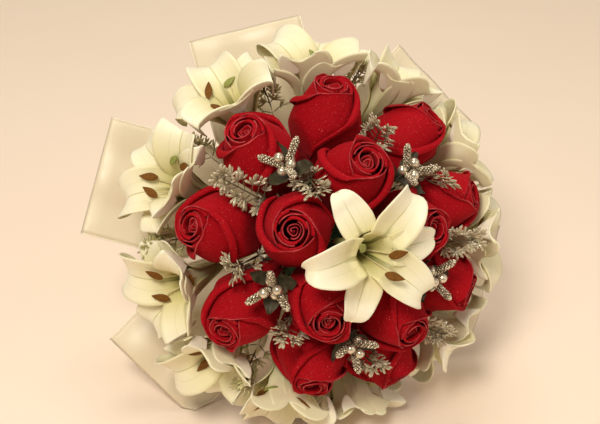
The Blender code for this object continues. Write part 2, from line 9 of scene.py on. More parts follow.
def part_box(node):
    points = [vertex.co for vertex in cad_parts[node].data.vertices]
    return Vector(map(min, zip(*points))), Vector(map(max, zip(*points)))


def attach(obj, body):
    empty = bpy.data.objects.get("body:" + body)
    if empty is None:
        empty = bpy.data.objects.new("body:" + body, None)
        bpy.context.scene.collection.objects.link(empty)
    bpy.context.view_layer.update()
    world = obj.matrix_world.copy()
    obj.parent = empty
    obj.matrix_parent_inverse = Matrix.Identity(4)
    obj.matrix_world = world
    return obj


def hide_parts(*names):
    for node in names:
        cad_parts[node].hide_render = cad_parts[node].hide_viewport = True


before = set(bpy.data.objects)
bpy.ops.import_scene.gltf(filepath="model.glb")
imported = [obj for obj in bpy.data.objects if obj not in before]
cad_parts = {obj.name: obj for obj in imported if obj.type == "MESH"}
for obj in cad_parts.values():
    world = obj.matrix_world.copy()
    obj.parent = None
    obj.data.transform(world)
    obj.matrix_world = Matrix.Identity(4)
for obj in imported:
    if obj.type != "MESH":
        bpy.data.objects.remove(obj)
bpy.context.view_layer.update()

# The bouquet lies tipped back. Every flower is worked out in the bouquet's own frame, whose
# centre is the middle of the foam ball, with +Z out through its face and +Y up across it.
MM = 0.001
# Points of a mesh that lie closer than this are merged. Tubes and hems take the finer one.
MERGE = 0.01 * MM
FINE_MERGE = 0.005 * MM
FACE_LIFT = math.radians(33)
foam_low, foam_high = (Vector(corner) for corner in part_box("foam_ball"))
MIDDLE = (foam_low + foam_high) / 2
LAID = Matrix.Translation(MIDDLE) @ Matrix.Rotation(math.pi / 2 - FACE_LIFT, 4, "X")

# The camera stands a little left of the bouquet and looks down on its face, as in the
# photograph, with the bouquet right of and below the middle of the picture.
VIEW_TURN = math.radians(-14.8)
VIEW_LIFT = math.radians(34.3)
VIEW_DISTANCE = 0.85
VIEW_LENS = 72.9
MIDDLE_RIGHT = 5.6 * MM
MIDDLE_DOWN = 12.6 * MM

view_back = Vector((
    math.sin(VIEW_TURN) * math.cos(VIEW_LIFT),
    -math.cos(VIEW_TURN) * math.cos(VIEW_LIFT),
    math.sin(VIEW_LIFT)))
view_right = Vector((math.cos(VIEW_TURN), math.sin(VIEW_TURN), 0))
view_up = view_back.cross(view_right)
aim = MIDDLE - view_right * MIDDLE_RIGHT + view_up * MIDDLE_DOWN
camera = bpy.data.objects.new("camera", bpy.data.cameras.new("camera"))
camera.data.lens = VIEW_LENS
camera.data.sensor_width = 36
camera.matrix_world = Matrix.Translation(aim + view_back * VIEW_DISTANCE) @ Matrix(
    (view_right, view_up, view_back)).transposed().to_4x4()
bpy.context.scene.collection.objects.link(camera)
bpy.context.scene.camera = camera


# Every finish is made of shader nodes, by the two classes that follow.
class Reading:
    """One output of a material's nodes. The signs + - and * on it add Math nodes."""

    def __init__(self, finish, socket):
        self.finish = finish
        self.socket = socket

    def reckon(self, operation, *terms):
        return self.finish.node("ShaderNodeMath", {"operation": operation}, dict(enumerate(terms)))

    def __add__(self, other):
        return self.reckon("ADD", self, other)

    def __sub__(self, other):
        return self.reckon("SUBTRACT", self, other)

    def __rsub__(self, other):
        return self.reckon("SUBTRACT", other, self)

    def __mul__(self, other):
        return self.reckon("MULTIPLY", self, other)

    def size(self):
        return self.reckon("ABSOLUTE", self)


class Finish:
    """One surface finish. Even values sit on the shader's own sockets."""

    def __init__(self, name, **even):
        self.material = bpy.data.materials.new(name)
        self.material.use_nodes = True
        self.tree = self.material.node_tree
        self.shader = self.tree.nodes["Principled BSDF"]
        for socket, value in even.items():
            socket = socket.replace("_", " ").title().replace("Ior", "IOR")
            self.shader.inputs[socket].default_value = value

    def node(self, kind, settings, values, output=0):
        """Adds a node: its type, its settings first, then the values or links of its sockets."""
        made = self.tree.nodes.new(kind)
        for name, setting in settings.items():
            setattr(made, name, setting)
        for name, value in values.items():
            self.fill(made.inputs[name], value)
        return Reading(self, made.outputs[output])

    def fill(self, socket, value):
        if isinstance(value, Reading):
            self.tree.links.new(value.socket, socket)
        else:
            socket.default_value = value

    def varies(self, socket, value):
        """Feeds one of the shader's sockets with what changes over the surface."""
        self.fill(self.shader.inputs[socket], value)

    def place(self):
        return self.node("ShaderNodeTexCoord", {}, {}, "Object")

    def across_and_along(self):
        """The two directions of a piece's own UV map."""
        flat = self.node("ShaderNodeTexCoord", {}, {}, "UV")
        return [self.node("ShaderNodeSeparateXYZ", {}, {0: flat}, axis) for axis in "XY"]

    def grain(self, per_metre, detail=3.0, place=None):
        """Soft noise with so many blotches to the metre."""
        where = place or self.place()
        return self.node("ShaderNodeTexNoise", {}, {"Vector": where, "Scale": per_metre, "Detail": detail})

    def rise(self, value, low, high):
        """0 below low, 1 above high, and even steps between."""
        return self.node("ShaderNodeMapRange", {}, {"Value": value, "From Min": low, "From Max": high})

    def blend(self, share, first, second):
        """A colour between two colours."""
        return self.node("ShaderNodeMix", {"data_type": "RGBA"}, {0: share, 6: first, 7: second}, 2)

    def mottle(self, pattern, first, second):
        """Lets the colour follow a pattern from first to second, and gives the pattern back."""
        self.varies("Base Color", self.blend(pattern, first, second))
        return pattern

    def relief(self, height, depth):
        """Bumps of the surface, as deep as depth in metres."""
        self.varies("Normal", self.node(
            "ShaderNodeBump", {}, {"Height": height, "Distance": depth, "Strength": 1.0}))


def object_of(mesh, name, finishes):
    """Puts a finished mesh into the scene."""
    data = bpy.data.meshes.new(name)
    mesh.to_mesh(data)
    mesh.free()
    for finish in finishes:
        data.materials.append(finish.material)
    made = bpy.data.objects.new(name, data)
    bpy.context.scene.collection.objects.link(made)
    return made


def piece(mesh, name, finishes, slot, *nodes):
    """Lays a finished mesh down with the bouquet, for the CAD nodes that it stands for."""
    bmesh.ops.transform(mesh, matrix=LAID, verts=mesh.verts)
    for face in mesh.faces:
        face.smooth = True
    made = object_of(mesh, name, finishes)
    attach(made, "root")
    if nodes:
        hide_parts(*nodes)
    return made


def thicken(made, thickness, offset, **finishes):
    """Gives a bent sheet its thickness, and its back or its rim another finish."""
    sheet = made.modifiers.new("thickness", "SOLIDIFY")
    sheet.thickness = thickness
    sheet.offset = offset
    for setting, index in finishes.items():
        setattr(sheet, setting, index)


def faces_of(verts):
    return {face for vert in verts for face in vert.link_faces}


def paint(faces, finish_index):
    """Gives some faces one of their piece's finishes."""
    for face in faces:
        face.material_index = finish_index


def turned_by(angle, side, other):
    """The direction this far round from side towards other, in radians."""
    return side * math.cos(angle) + other * math.sin(angle)


# The table is a plain pale painted top. It is only there to catch the soft shadow that the
# bouquet throws to the right.
TABLE_SIZE = 8.0
table_top = Finish("table_top", roughness=0.6)
table_top.mottle(table_top.grain(6), (0.90, 0.73, 0.58, 1), (0.93, 0.77, 0.62, 1))
table_mesh = bmesh.new()
bmesh.ops.create_grid(table_mesh, x_segments=1, y_segments=1, size=TABLE_SIZE / 2)
table = object_of(table_mesh, "table", [table_top])

# Soft studio light: a warm lamp above and to the front left, a wide weak one to the front right,
# one above from behind, and an even warm sky. The picture keeps its colours as they are, without
# a film curve. Each lamp has its place and size in metres, its power in watts and its colour.
LAMPS = (
    ("key", (-0.50, -0.70, 1.30), 0.45, 15, (1.0, 0.95, 0.86)),
    ("fill", (1.3, -0.9, 0.9), 1.4, 5, (1.0, 0.95, 0.88)),
    ("top", (0.1, 0.5, 1.5), 0.8, 7, (1.0, 0.95, 0.86)),
)
bpy.context.scene.view_settings.view_transform = "Standard"
for lamp_name, lamp_place, lamp_size, lamp_watts, lamp_colour in LAMPS:
    lamp = bpy.data.objects.new(lamp_name, bpy.data.lights.new(lamp_name, "AREA"))
    lamp.data.shape = "DISK"
    lamp.data.size = lamp_size
    lamp.data.energy = lamp_watts
    lamp.data.color = lamp_colour
    lamp.location = lamp_place
    lamp.rotation_euler = (MIDDLE - Vector(lamp_place)).to_track_quat("-Z", "Y").to_euler()
    bpy.context.scene.collection.objects.link(lamp)
world = bpy.data.worlds.new("sky")
world.use_nodes = True
world.node_tree.nodes["Background"].inputs["Color"].default_value = (1.0, 0.92, 0.80, 1)
world.node_tree.nodes["Background"].inputs["Strength"].default_value = 0.36
bpy.context.scene.world = world

# The foam ball carries every stem. Dry flower foam is dark green, open-celled and crumbly, and
# it sits in the holder's cup. Its green is made darker still, as painted shade in the gaps between the roses
# where it shows.
FOAM_RADIUS = 35.6 * MM
dry_foam = Finish("dry_foam", roughness=0.95)
cells = dry_foam.mottle(dry_foam.grain(900, 4.0), (0.010, 0.034, 0.010, 1), (0.03, 0.08, 0.03, 1))
dry_foam.relief(cells, 0.6 * MM)
foam_mesh = bmesh.new()
bmesh.ops.create_icosphere(foam_mesh, subdivisions=5, radius=FOAM_RADIUS)
piece(foam_mesh, "foam", [dry_foam], "flower_foam", "foam_ball")

# The holder is one moulding of pale plastic: a thin cup round the back of the foam, with a
# rounded rim, and a straight handle.
CUP_INNER = 37.44 * MM
CUP_OUTER = 39.64 * MM
CUP_RIM = -10 * MM
HANDLE_RADIUS = 10.5 * MM
HANDLE_END = -186 * MM
CUP_STEPS = 14
HANDLE_SIDES = 48
moulded = Finish("moulded_plastic", roughness=0.42)
moulded.mottle(moulded.grain(140), (0.70, 0.69, 0.64, 1), (0.79, 0.78, 0.74, 1))
moulded.relief(moulded.grain(1500), 0.03 * MM)

rim_angle = math.acos(CUP_RIM / CUP_INNER)
neck_angle = math.pi - math.asin(HANDLE_RADIUS / CUP_OUTER)
outline = [(0, HANDLE_END), (HANDLE_RADIUS - MM, HANDLE_END), (HANDLE_RADIUS, HANDLE_END + MM)]
for radius, start, end in ((CUP_OUTER, neck_angle, rim_angle), (CUP_INNER, rim_angle, math.pi)):
    for step in range(CUP_STEPS + 1):
        angle = start + (end - start) * step / CUP_STEPS
        outline.append((radius * math.sin(angle), radius * math.cos(angle)))
holder_mesh = bmesh.new()
outline_verts = [holder_mesh.verts.new((radius, 0, along)) for radius, along in outline]
for first, second in zip(outline_verts, outline_verts[1:]):
    holder_mesh.edges.new((first, second))
bmesh.ops.spin(
    holder_mesh, geom=holder_mesh.verts[:] + holder_mesh.edges[:], cent=(0, 0, 0), axis=(0, 0, 1),
    angle=2 * math.pi, steps=HANDLE_SIDES, use_merge=True)
bmesh.ops.remove_doubles(holder_mesh, verts=holder_mesh.verts, dist=MERGE)
bmesh.ops.recalc_face_normals(holder_mesh, faces=holder_mesh.faces)
piece(holder_mesh, "flower_holder", [moulded], "holder_plastic", "holder")

# Ivory satin ribbon is wound round the handle in overlapping turns, from its end up to the
# collar. The upper edge of each turn lies over the start of the next one.
WRAP_INNER = 10.8 * MM
WRAP_OUTER = 12.4 * MM
WRAP_INSET = 0.3 * MM
WRAP_END = -187.9 * MM
WRAP_TOP = -56 * MM
WRAP_TURN = 19 * MM
# The share of the skin that closes the wrap's end, the share of the thickness that a turn has at
# its start, and what it gains up to its upper edge
WRAP_CAP = 0.04
TURN_START = 0.55
TURN_GAIN = 0.45
SATIN_PALE = (0.80, 0.69, 0.50, 1)
SATIN_DEEP = (0.74, 0.62, 0.42, 1)


def satin_finish(name, threads_across, threads_along, deep=SATIN_DEEP, pale=SATIN_PALE):
    """Warm ivory satin: a soft sheen, fine threads and slow changes of tone."""
    finish = Finish(
        name, sheen_weight=0.35, sheen_roughness=0.3, sheen_tint=(1.0, 0.93, 0.80, 1), anisotropic=0.6)
    flat = finish.node("ShaderNodeTexCoord", {}, {}, "UV")
    count = (threads_across, threads_along, 1)
    thread = finish.grain(1.0, 2.0, finish.node("ShaderNodeMapping", {}, {"Vector": flat, "Scale": count}))
    finish.tone = finish.blend(finish.grain(22), deep, pale)
    finish.varies("Base Color", finish.tone)
    finish.varies("Roughness", thread * 0.16 + 0.26)
    finish.relief(thread, 0.12 * MM)
    return finish


def bent_grid(mesh, columns, rows, place):
    """A flat grid with its own UV map, bent by place(u, v), where u and v run from 0 to 1."""
    layer = mesh.loops.layers.uv.verify()
    grid = bmesh.ops.create_grid(mesh, x_segments=columns, y_segments=rows, size=0.5, calc_uvs=False)
    faces = faces_of(grid["verts"])
    for face in faces:
        for loop in face.loops:
            loop[layer].uv = (loop.vert.co.x + 0.5, loop.vert.co.y + 0.5)
    for vert in grid["verts"]:
        vert.co = place(vert.co.x + 0.5, vert.co.y + 0.5)
    return faces


def wound_ribbon(u, v):
    """The wrap's skin: over the end, up the turns, and in at the top."""
    angle = 2 * math.pi * u
    along = WRAP_END + (WRAP_TOP - WRAP_END) * max(0.0, v - WRAP_CAP) / (1 - WRAP_CAP)
    turn = (along - WRAP_END) / WRAP_TURN - u
    across_turn = TURN_START + TURN_GAIN * (turn - math.floor(turn))
    thick = across_turn if 0.05 < v < 0.99 else 0.5
    radius = WRAP_INNER + (WRAP_OUTER - WRAP_INSET - WRAP_INNER) * thick
    if v < WRAP_CAP:
        radius *= v / WRAP_CAP
    if v > 0.9999:
        radius = WRAP_INNER
    return Vector((radius * math.cos(angle), radius * math.sin(angle), along))


# A darker line of painted shadow runs along the start of every turn, under the edge of the turn
# before. Whole turns are added, so that no fraction is taken of a number below zero.
WHOLE_TURNS = 20
wrap_satin = satin_finish("wrap_satin", 6, 700)
wrap_u, wrap_v = wrap_satin.across_and_along()
turns = (wrap_v - WRAP_CAP) * ((WRAP_TOP - WRAP_END) / ((1 - WRAP_CAP) * WRAP_TURN)) - wrap_u
past_start = turns.reckon("FRACT", turns + WHOLE_TURNS)
step_shadow = 1 - wrap_satin.rise(past_start, 0.0, 0.10)
wrap_satin.mottle(step_shadow * 0.8, wrap_satin.tone, (0.30, 0.22, 0.12, 1))
wrap_mesh = bmesh.new()
bent_grid(wrap_mesh, HANDLE_SIDES, 150, wound_ribbon)
bmesh.ops.remove_doubles(wrap_mesh, verts=wrap_mesh.verts, dist=MERGE)
piece(wrap_mesh, "wound_satin", [wrap_satin], "ivory_satin", "handle_ribbon")

# Fourteen roses stand close together on the ball. Each is a half open bud of velvety foam
# sheet: three wide outer petals wrap each other, each with its free edge folded back along a
# slanting line, and two rows of smaller petals and a rolled heart fill the narrow opening.
# Places are two angles from the middle of the foam: round the face, and away from its axis. The
# third angle turns the rose, so that a fold starts at its lip this way across the picture.
ROSES = {
    "upper_left": (125, 47, 20), "top": (82, 52, 10), "upper_right": (39, 60, -60),
    "centre_top": (66, 23, -110), "right": (6, 57, 0), "left": (169, 50, 50),
    "centre_left": (168, 17, -110), "lower_left": (213, 52, -170), "centre_bottom": (251, 28, 100),
    "bottom": (255, 57, 60), "lower_right": (299, 42, 160), "right_low": (329, 63, 200),
    "bottom_right": (290, 72, 90), "centre_right": (355, 29, 30),
}
RING_LILIES = (
    (276, 92, 12), (314, 88, 14), (350, 85, 24), (22, 84, 26), (54, 85, 30), (86, 81, 31),
    (117, 81, 32), (154, 81, 34), (192, 82, 36), (222, 84, 30), (249, 84, 24),
)
FRONT_LILY = (290, 6.5)
HALF_ANGLES = {"rose": math.radians(15.6), "lily": math.radians(17), "front_lily": math.radians(9)}
COLLAR_FRONT = -28 * MM
ROSE_TWIST = math.radians(28)
# Millimetres along the axis of a rose and out from it
ROSE_HEAD_START = 50
ROSE_HEAD_LENGTH = 70
ROSE_SHOULDER = Vector((92, 25.6))
ROSE_LIP = Vector((120, 19.4))
ROSE_UNEVENNESS = 0.6
# How far its petals stay from the walls, and how thick they are
ROSE_MARGIN = 0.4 * MM
ROSE_THICKNESS = 0.8 * MM
# Each row of petals: how many, how far they overlap, how the row is turned, how far one side
# stands out over the next petal, the share of the outline that its top loses at the hidden and
# at the free side, how long the fold is in the middle and at the free side, how finely a petal
# is cut across and along, and the outline from the stem to the lip, in millimetres along the
# axis and out from it
ROSE_ROWS = (
    (3, 1.9, 0.0, 1.5, 0.16, 0.54, (3.0, 9.5), (40, 32), (
        (50, 1.5), (54, 11), (61, 18), (71, 22.8), (82, 24.6), (93, 23.4), (103, 20.2),
        (112, 16.4), (118.5, 13.6))),
    (3, 1.42, 0.5, 0.9, 0.06, 0.13, (1.6, 3.0), (22, 18), (
        (78, 8), (88, 15), (98, 16.6), (107, 14.8), (115, 11.8), (119.4, 10.4))),
    (2, 1.3, 0.3, 0.8, 0.04, 0.08, (1.2, 2.0), (24, 16), (
        (84, 6), (94, 10.6), (103, 11), (111, 9.2), (117, 7.6), (120.2, 7.0))),
)
FOLD_START = 0.66
LIP_BEND = math.radians(38)
FOLD_BEND = math.radians(205)
FOLD_FLATNESS = 0.6
RIM_STEP = 0.04
HEART_TURNS = 2.3


def direction(around, away):
    """Unit vector for an angle round the face and an angle away from its axis, in degrees."""
    around, away = math.radians(around), math.radians(away)
    return Vector((
        math.cos(around) * math.sin(away), math.sin(around) * math.sin(away), math.cos(away)))


def cross_axes(axis):
    """Two directions square to an axis and to each other."""
    side = axis.orthogonal().normalized()
    return side, axis.cross(side)


# Walls keep neighbouring flowers apart: each is a plane (normal, offset), and a point stays
# where normal . point + offset is positive
NEIGHBOURS_WITHIN = math.radians(50)
WALL_SOFTNESS = 7 * MM
FLOOR_WALL = (Vector((0, math.cos(FACE_LIFT), math.sin(FACE_LIFT))), MIDDLE.z)
COLLAR_WALL = (Vector((0, 0, 1)), -COLLAR_FRONT - 1.5 * MM)


def cell_wall(own, other, own_angle):
    """Plane through the middle of the foam, own_angle away from own towards other."""
    across = (other - own * own.dot(other)).normalized()
    return own * math.sin(own_angle) - across * math.cos(own_angle), 0.0


def rose_wall(rose, towards):
    """Plane that touches the narrowing upper half of a rose on the side of a neighbour."""
    low = ROSE_SHOULDER * MM
    slope = (ROSE_LIP - ROSE_SHOULDER).normalized()
    across = (towards - rose * rose.dot(towards)).normalized()
    normal = across * slope.x - rose * slope.y
    return normal, low.x * slope.y - low.y * slope.x


def own_share(kind, other_kind, apart):
    """How much of the angle between two neighbours belongs to the first."""
    own, other = HALF_ANGLES[kind], HALF_ANGLES[other_kind]
    if own + other < apart:
        return own + (apart - own - other) / 2
    if kind == other_kind:
        return apart / 2
    if kind == "rose":
        return own
    return apart - other if other_kind == "rose" else apart * own / (own + other)


def walls_of(kind, own, room=0.0):
    """The walls round one flower. Room lets it reach that far into its neighbours' cells."""
    walls = [FLOOR_WALL]
    if kind == "lily":
        walls.append(COLLAR_WALL)
    for other_kind, other in flowers:
        apart = own.angle(other, 0)
        if 0.001 < apart < NEIGHBOURS_WITHIN:
            if kind == "lily" and other_kind == "rose":
                walls.append(rose_wall(other, own))
            else:
                normal, offset = cell_wall(own, other, own_share(kind, other_kind, apart))
                walls.append((normal, offset + room))
    return walls


def fit(point, walls, margin, softness=WALL_SOFTNESS):
    """Presses a point softly back to its own side of every wall."""
    for _ in range(4):
        for normal, offset in walls:
            height = normal.dot(point) + offset
            if height < softness:
                room = softness - margin
                point = point + normal * (margin + room * math.exp((height - softness) / room) - height)
    return point


def smooth_curve(points, share):
    """Where a smooth curve through a short list of points has got to."""
    place = share * (len(points) - 1)
    index = min(int(place), len(points) - 2)
    part = place - index
    before = points[max(index - 1, 0)]
    after = points[min(index + 2, len(points) - 1)]
    return [
        b + part * ((c - a) + part * ((2 * a - 5 * b + 4 * c - d) + part * (3 * b - a - 3 * c + d))) / 2
        for a, b, c, d in zip(before, points[index], points[index + 1], after)]


flowers = [("rose", direction(around, away)) for around, away, _ in ROSES.values()]
flowers += [("lily", direction(around, away)) for around, away, _ in RING_LILIES]
flowers.append(("front_lily", direction(*FRONT_LILY)))

velvet = Finish(
    "rose_velvet", roughness=0.78, sheen_weight=0.12, sheen_roughness=0.4,
    sheen_tint=(1.0, 0.12, 0.15, 1), specular_ior_level=0.1)
pile = velvet.grain(1500, 2.0)
nap = velvet.blend(velvet.grain(60), (0.34, 0.002, 0.006, 1), (0.46, 0.005, 0.012, 1))
mottled = velvet.blend(velvet.rise(pile, 0.35, 0.65), (0.27, 0.001, 0.004, 1), nap)
fleck = velvet.rise(velvet.grain(1100, 1.0), 0.70, 0.76)
velvet.mottle(fleck * 0.6, mottled, (0.80, 0.16, 0.15, 1))
velvet.relief(pile, 0.15 * MM)

# The cut rims of the petals are dark red foam, with pale pink patches of painted highlight along the lips.
cut_edge = Finish("rose_cut_edge", roughness=0.8)
rim_highlight = cut_edge.rise(cut_edge.grain(160), 0.42, 0.68)
cut_edge.mottle(rim_highlight, (0.30, 0.004, 0.009, 1), (0.50, 0.05, 0.05, 1))


def soft_step(value, low, high):
    """0 below low, 1 above high, and a soft change between."""
    share = min(1.0, max(0.0, (value - low) / (high - low)))
    return share * share * (3 - 2 * share)


to_bouquet = LAID.to_3x3().inverted()
picture_right = to_bouquet @ view_right
picture_up = to_bouquet @ view_up


def picture_direction(head, degrees):
    """Direction square to a bloom's axis that points this way across the picture."""
    wanted = turned_by(math.radians(degrees), picture_right, picture_up)
    return (wanted - head * head.dot(wanted)).normalized()


petal_draw = random.Random(4)
for rose_name, (around, away, fold_angle) in ROSES.items():
    rose_axis = direction(around, away)
    rose_side, rose_other = cross_axes(rose_axis)
    fold_out = picture_direction(rose_axis, fold_angle)
    rose_roll = math.atan2(fold_out.dot(rose_other), fold_out.dot(rose_side)) - ROSE_TWIST
    rose_walls = walls_of("rose", rose_axis)
    rose_mesh = bmesh.new()

    def on_rose(along, radius, angle):
        """A point of the rose, from millimetres along its axis and out from it, and an angle."""
        twist = ROSE_TWIST * (along - ROSE_HEAD_START) / ROSE_HEAD_LENGTH
        across = turned_by(angle + rose_roll + twist, rose_side, rose_other)
        return rose_axis * along * MM + across * radius * MM

    def settle(point):
        """Gives a point a slight unevenness and keeps it inside the rose's own room."""
        across = point - rose_axis * rose_axis.dot(point)
        uneven = noise.noise(point * 55) * ROSE_UNEVENNESS * MM * min(1.0, across.length / (10 * MM))
        return fit(point + across.normalized() * uneven, rose_walls, ROSE_MARGIN)

    for count, overlap, turn, stand_out, hidden_loss, free_loss, folds, cuts, row in ROSE_ROWS:
        for petal in range(count):
            loss = free_loss * petal_draw.uniform(0.75, 1.25)
            ragged = petal_draw.uniform(0, 100)

            def top_of(edge):
                """The share of the outline that the petal reaches at a place across it."""
                free_side = max(0.0, (edge + 0.25) / 1.25)
                hidden_side = max(0.0, (-0.25 - edge) / 0.75)
                teeth = 0.018 * noise.noise(Vector((edge * 5, ragged, 0)))
                teeth += 0.008 * noise.noise(Vector((edge * 16, ragged, 5)))
                return 1 - loss * free_side ** 1.5 - hidden_loss * hidden_side ** 2 + teeth

            def on_petal(edge, share):
                """A point of the petal before its fold, at a place across it and a share up."""
                along, radius = smooth_curve(row, share)
                radius += stand_out * edge * min(1.0, 3 * share)
                angle = 2 * math.pi * (petal + turn - edge * overlap / 2) / count
                return on_rose(along, radius, angle)

            def petal_place(u, v):
                """Up the outline to the petal's top, and then round its fold."""
                edge = 1 - 2 * u
                top = top_of(edge)
                if v <= FOLD_START:
                    return settle(on_petal(edge, top * v / FOLD_START))
                rim = on_petal(edge, top)
                near, far = edge - RIM_STEP, edge + RIM_STEP
                along_rim = (on_petal(near, top_of(near)) - on_petal(far, top_of(far))).normalized()
                outwards = along_rim.cross(rim - on_petal(edge, top - 0.03)).normalized()
                beyond = outwards.cross(along_rim)
                folded = soft_step(edge, -0.2, 0.45)
                bend = LIP_BEND + (FOLD_BEND - LIP_BEND) * folded
                radius = (folds[0] + (folds[1] - folds[0]) * folded) * MM / bend
                turned = bend * (v - FOLD_START) / (1 - FOLD_START)
                point = rim + beyond * radius * math.sin(turned)
                return settle(point + outwards * radius * FOLD_FLATNESS * (1 - math.cos(turned)))
            bent_grid(rose_mesh, *cuts, petal_place)

    def heart_place(u, v):
        """The heart is one strip rolled up, with a wave along its top."""
        angle = 2 * math.pi * HEART_TURNS * u
        radius = 5.4 - 4.4 * u + 0.3 * math.sin(3 * angle)
        along = 96 + (22.4 - 2 * u) * v + 0.9 * math.sin(2.3 * angle) * v
        return settle(on_rose(along, radius * (0.75 + 0.25 * v), angle))
    bent_grid(rose_mesh, 56, 7, heart_place)

    rose = piece(
        rose_mesh, "petals_" + rose_name, [velvet, cut_edge], "rose_foam", "rose_" + rose_name)
    thicken(rose, ROSE_THICKNESS, -1, material_offset_rim=1)

# Ivory lilies stand in a ring round the roses, and one larger lily leans over them in front.
# Each has six long pointed petals of soft foam sheet in two rows, joined in a green throat.
# Every petal has a sharp fold along its middle, opens like a trumpet and curls back at its tip.
LILY_FOOT = 68 * MM
LILY_PETAL = 90 * MM
LILY_TILTS = ((0, 7), (0.38, 14), (0.56, 52), (0.72, 84), (0.82, 126), (0.92, 190), (1, 235))
LILY_ROLLS = (46.8, 21.2, 30.1, 15.0, 4.5, 55.9, 24.1, 25.2, 62.4, 71.4, 27.7)
FRONT_LILY_FOOT = 75 * MM
FRONT_LILY_PETAL = 85 * MM
FRONT_LILY_TILTS = ((0, 5), (0.34, 10), (0.52, 56), (0.74, 72), (0.84, 94), (0.92, 150), (1, 210))
FRONT_LILY_NOD = 9
FRONT_LILY_NARROWER = 0.86
OVER_ROSES = 122.5 * MM
LILY_THICKNESS = 0.9 * MM
LILY_MARGIN = 1.3 * MM
# How far a ring lily reaches past the planes that part it from other lilies
LILY_ROOM = 2.5 * MM
# How much a ring lily's petal stays closed towards the bouquet's face, and down to a fifth of
# it elsewhere
RING_CLOSED = 0.55
# How strongly the inner and the outer petals are folded along their middle
RING_CUPS = (0.66, 0.56)
FRONT_CUPS = (0.72, 0.36)
# The length of the front lily's outer petals, as a share of its inner ones
FRONT_OUTER_REACH = 0.9
# The petals of the front lily point in these directions across the picture, in degrees
FRONT_INNER_PETALS = (189, 54, -36)
FRONT_OUTER_PETALS = (124, 8, -104)
# Half widths in millimetres at shares of the petal's length
INNER_WIDTHS = (
    (0, 2.6), (0.2, 5.4), (0.38, 10), (0.52, 14.6), (0.64, 16.4), (0.76, 15.4), (0.86, 12),
    (0.94, 6.6), (1, 0.6))
OUTER_WIDTHS = (
    (0, 2.6), (0.2, 4.8), (0.38, 8.4), (0.52, 12), (0.64, 13.8), (0.76, 13), (0.86, 10),
    (0.94, 5.6), (1, 0.6))


def between(stops, value):
    """Value on the straight lines between the stops of a short profile."""
    for (low, start), (high, end) in zip(stops, stops[1:]):
        if value <= high:
            share = max(0.0, (value - low) / (high - low))
            return start + (end - start) * share
    return stops[-1][1]


def petal_line(length, tilts, start, start_radius, steps=72):
    """Middle line of a petal: how far along and out it is, and its tilt, at a share of it."""
    points = [(start, start_radius)]
    for index in range(steps):
        tilt = math.radians(between(tilts, (index + 0.5) / steps))
        along, radius = points[-1]
        points.append((along + math.cos(tilt) * length / steps, radius + math.sin(tilt) * length / steps))

    def read(share):
        place = share * steps
        low = min(int(place), steps - 1)
        part = place - low
        along, radius = (a * (1 - part) + b * part for a, b in zip(points[low], points[low + 1]))
        return along, radius, math.radians(between(tilts, share))
    return read


petal_face = Finish(
    "lily_petal", roughness=0.5, sheen_weight=0.1, subsurface_weight=0.12,
    subsurface_radius=(0.006, 0.004, 0.002), subsurface_scale=0.5)
petal_u, petal_v = petal_face.across_and_along()
from_middle = (petal_u - 0.5).size()
# Towards the throat the face turns yellow-green and then dark green: the lily's own green throat, spread far
# up the petal as painted shade inside its cup.
cream = petal_face.blend(petal_face.grain(45), (0.83, 0.75, 0.54, 1), (0.88, 0.81, 0.62, 1))
throat_green_and_shade = petal_face.blend(1 - petal_face.rise(petal_v, 0.38, 0.80), cream, (0.66, 0.58, 0.22, 1))
throat = petal_face.blend(1 - petal_face.rise(petal_v, 0.14, 0.50), throat_green_and_shade, (0.28, 0.28, 0.05, 1))
past_streak = petal_face.rise(from_middle - (1 - petal_v) * 0.10, 0.0, 0.03)
streak = (1 - past_streak) * (1 - petal_face.rise(petal_v, 0.40, 0.62))
streaked = petal_face.blend(streak * 0.85, throat, (0.07, 0.09, 0.012, 1))
ribs = (1 - petal_face.rise(from_middle, 0.004, 0.020)) * 0.75
side_ribs = (1 - petal_face.rise((from_middle - 0.22).size(), 0.003, 0.012)) * 0.2
rib_fade = 1 - petal_face.rise(petal_v, 0.74, 0.92)
petal_face.mottle((ribs + side_ribs) * rib_fade, streaked, (0.42, 0.38, 0.09, 1))
petal_face.relief(petal_face.grain(700, 2.0), 0.08 * MM)

# The petals' backs are a darker olive than their faces, as painted shade on the undersides, and turn dark
# green towards the base.
petal_back = Finish("lily_petal_back", roughness=0.55)
back_v = petal_back.across_and_along()[1]
underside_shade = petal_back.blend(petal_back.grain(60), (0.74, 0.68, 0.39, 1), (0.86, 0.80, 0.54, 1))
petal_back.mottle(1 - petal_back.rise(back_v, 0.1, 0.6), underside_shade, (0.30, 0.32, 0.08, 1))


